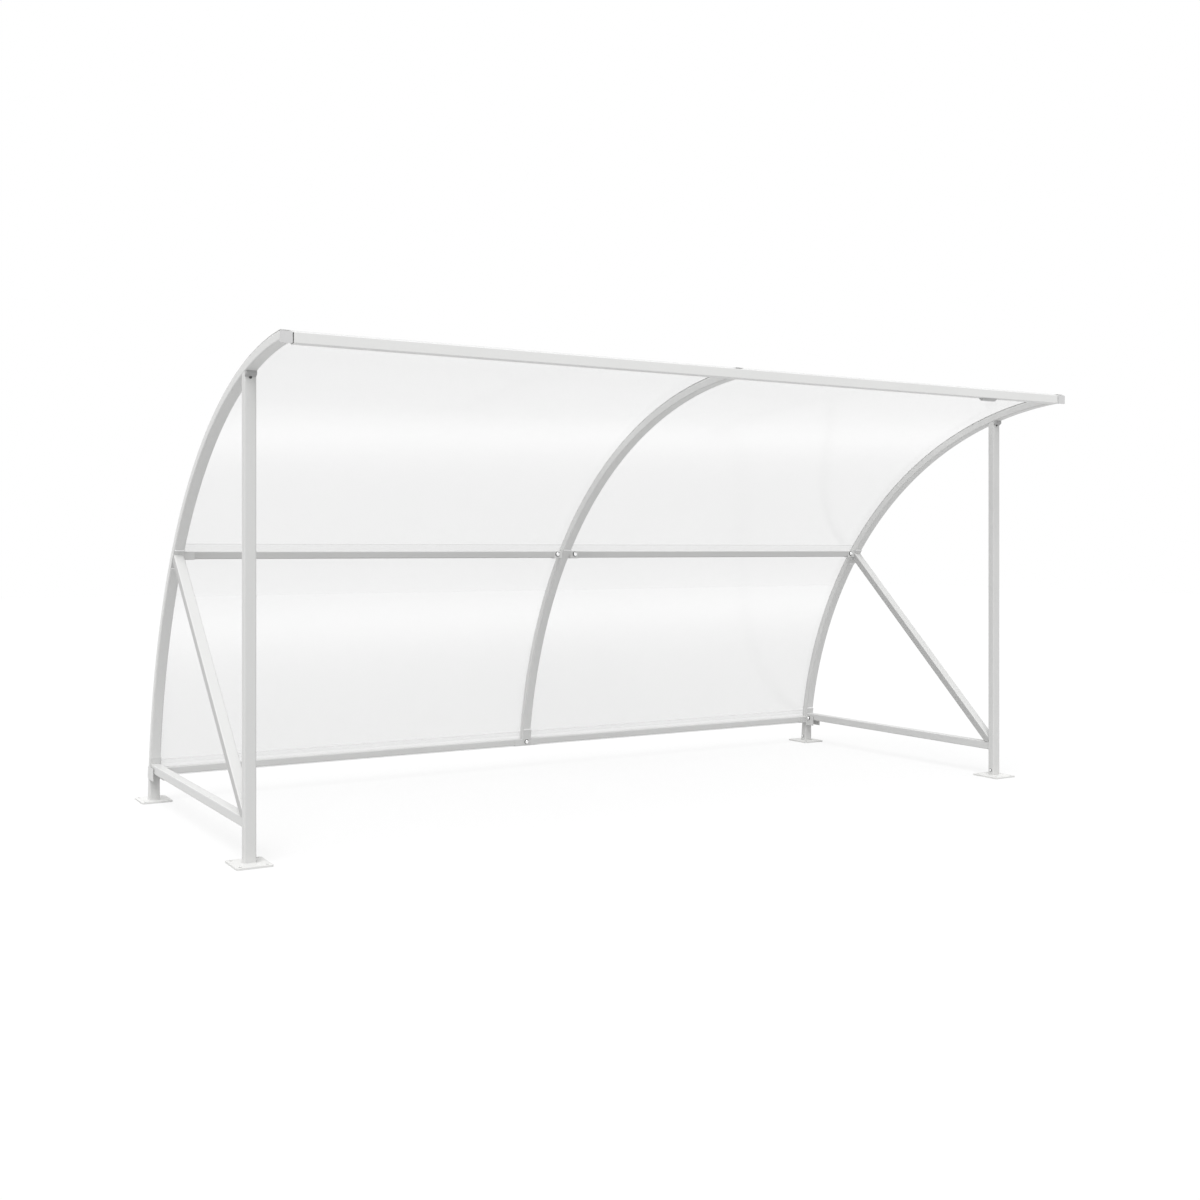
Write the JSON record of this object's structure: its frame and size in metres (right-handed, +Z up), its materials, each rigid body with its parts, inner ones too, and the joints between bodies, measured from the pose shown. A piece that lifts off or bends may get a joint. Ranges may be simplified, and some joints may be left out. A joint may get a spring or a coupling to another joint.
{
  "type": "open-front waiting shelter",
  "caption": "Open-front waiting shelter: curved tubular ribs carry clear curved roof and back sheets, tied by rails, a front beam, braced end frames and base plates.",
  "frame": {"origin": "middle of the footprint, on the ground", "axes": "+X along the shelter, to the right seen from its open front; +Y to the closed back; +Z up"},
  "size_m": [4.35, 2.12, 2.0658],
  "materials": {
    "frame_paint": "light grey powder coat, satin",
    "joint_paint": "light grey powder coat, satin",
    "base_plate": "light grey powder coat on steel plate",
    "clear_sheet": "clear glossy sheet, 3 mm",
    "clamping_strip": "light grey powder coat on flat bar",
    "plastic_cap": "moulded grey tube cap"
  },
  "bodies": {
    "root": {"front_beam": "frame_paint", "front_left_base_plate": "base_plate", "front_right_base_plate": "base_plate", "left_back_sheet": "clear_sheet", "left_back_strip": "clamping_strip", "left_beam_bracket": "joint_paint", "left_bottom_joint": "joint_paint", "left_bottom_rail": "frame_paint", "left_brace": "frame_paint", "left_foot_sleeve": "joint_paint", "left_front_post": "frame_paint", "left_lower_rib": "frame_paint", "left_mid_joint": "joint_paint", "left_mid_rail": "frame_paint", "left_rib_cap": "plastic_cap", "left_roof_sheet": "clear_sheet", "left_roof_strip": "clamping_strip", "left_side_rail": "frame_paint", "left_upper_rib": "frame_paint", "middle_back_strip": "clamping_strip", "middle_beam_bracket": "joint_paint", "middle_bottom_joint": "joint_paint", "middle_lower_rib": "frame_paint", "middle_mid_joint": "joint_paint", "middle_roof_strip": "clamping_strip", "middle_upper_rib": "frame_paint", "rear_left_base_plate": "base_plate", "rear_right_base_plate": "base_plate", "right_back_sheet": "clear_sheet", "right_back_strip": "clamping_strip", "right_beam_bracket": "joint_paint", "right_bottom_joint": "joint_paint", "right_bottom_rail": "frame_paint", "right_brace": "frame_paint", "right_foot_sleeve": "joint_paint", "right_front_post": "frame_paint", "right_lower_rib": "frame_paint", "right_mid_joint": "joint_paint", "right_mid_rail": "frame_paint", "right_rib_cap": "plastic_cap", "right_roof_sheet": "clear_sheet", "right_roof_strip": "clamping_strip", "right_side_rail": "frame_paint", "right_upper_rib": "frame_paint"}
  },
  "joints": []
}
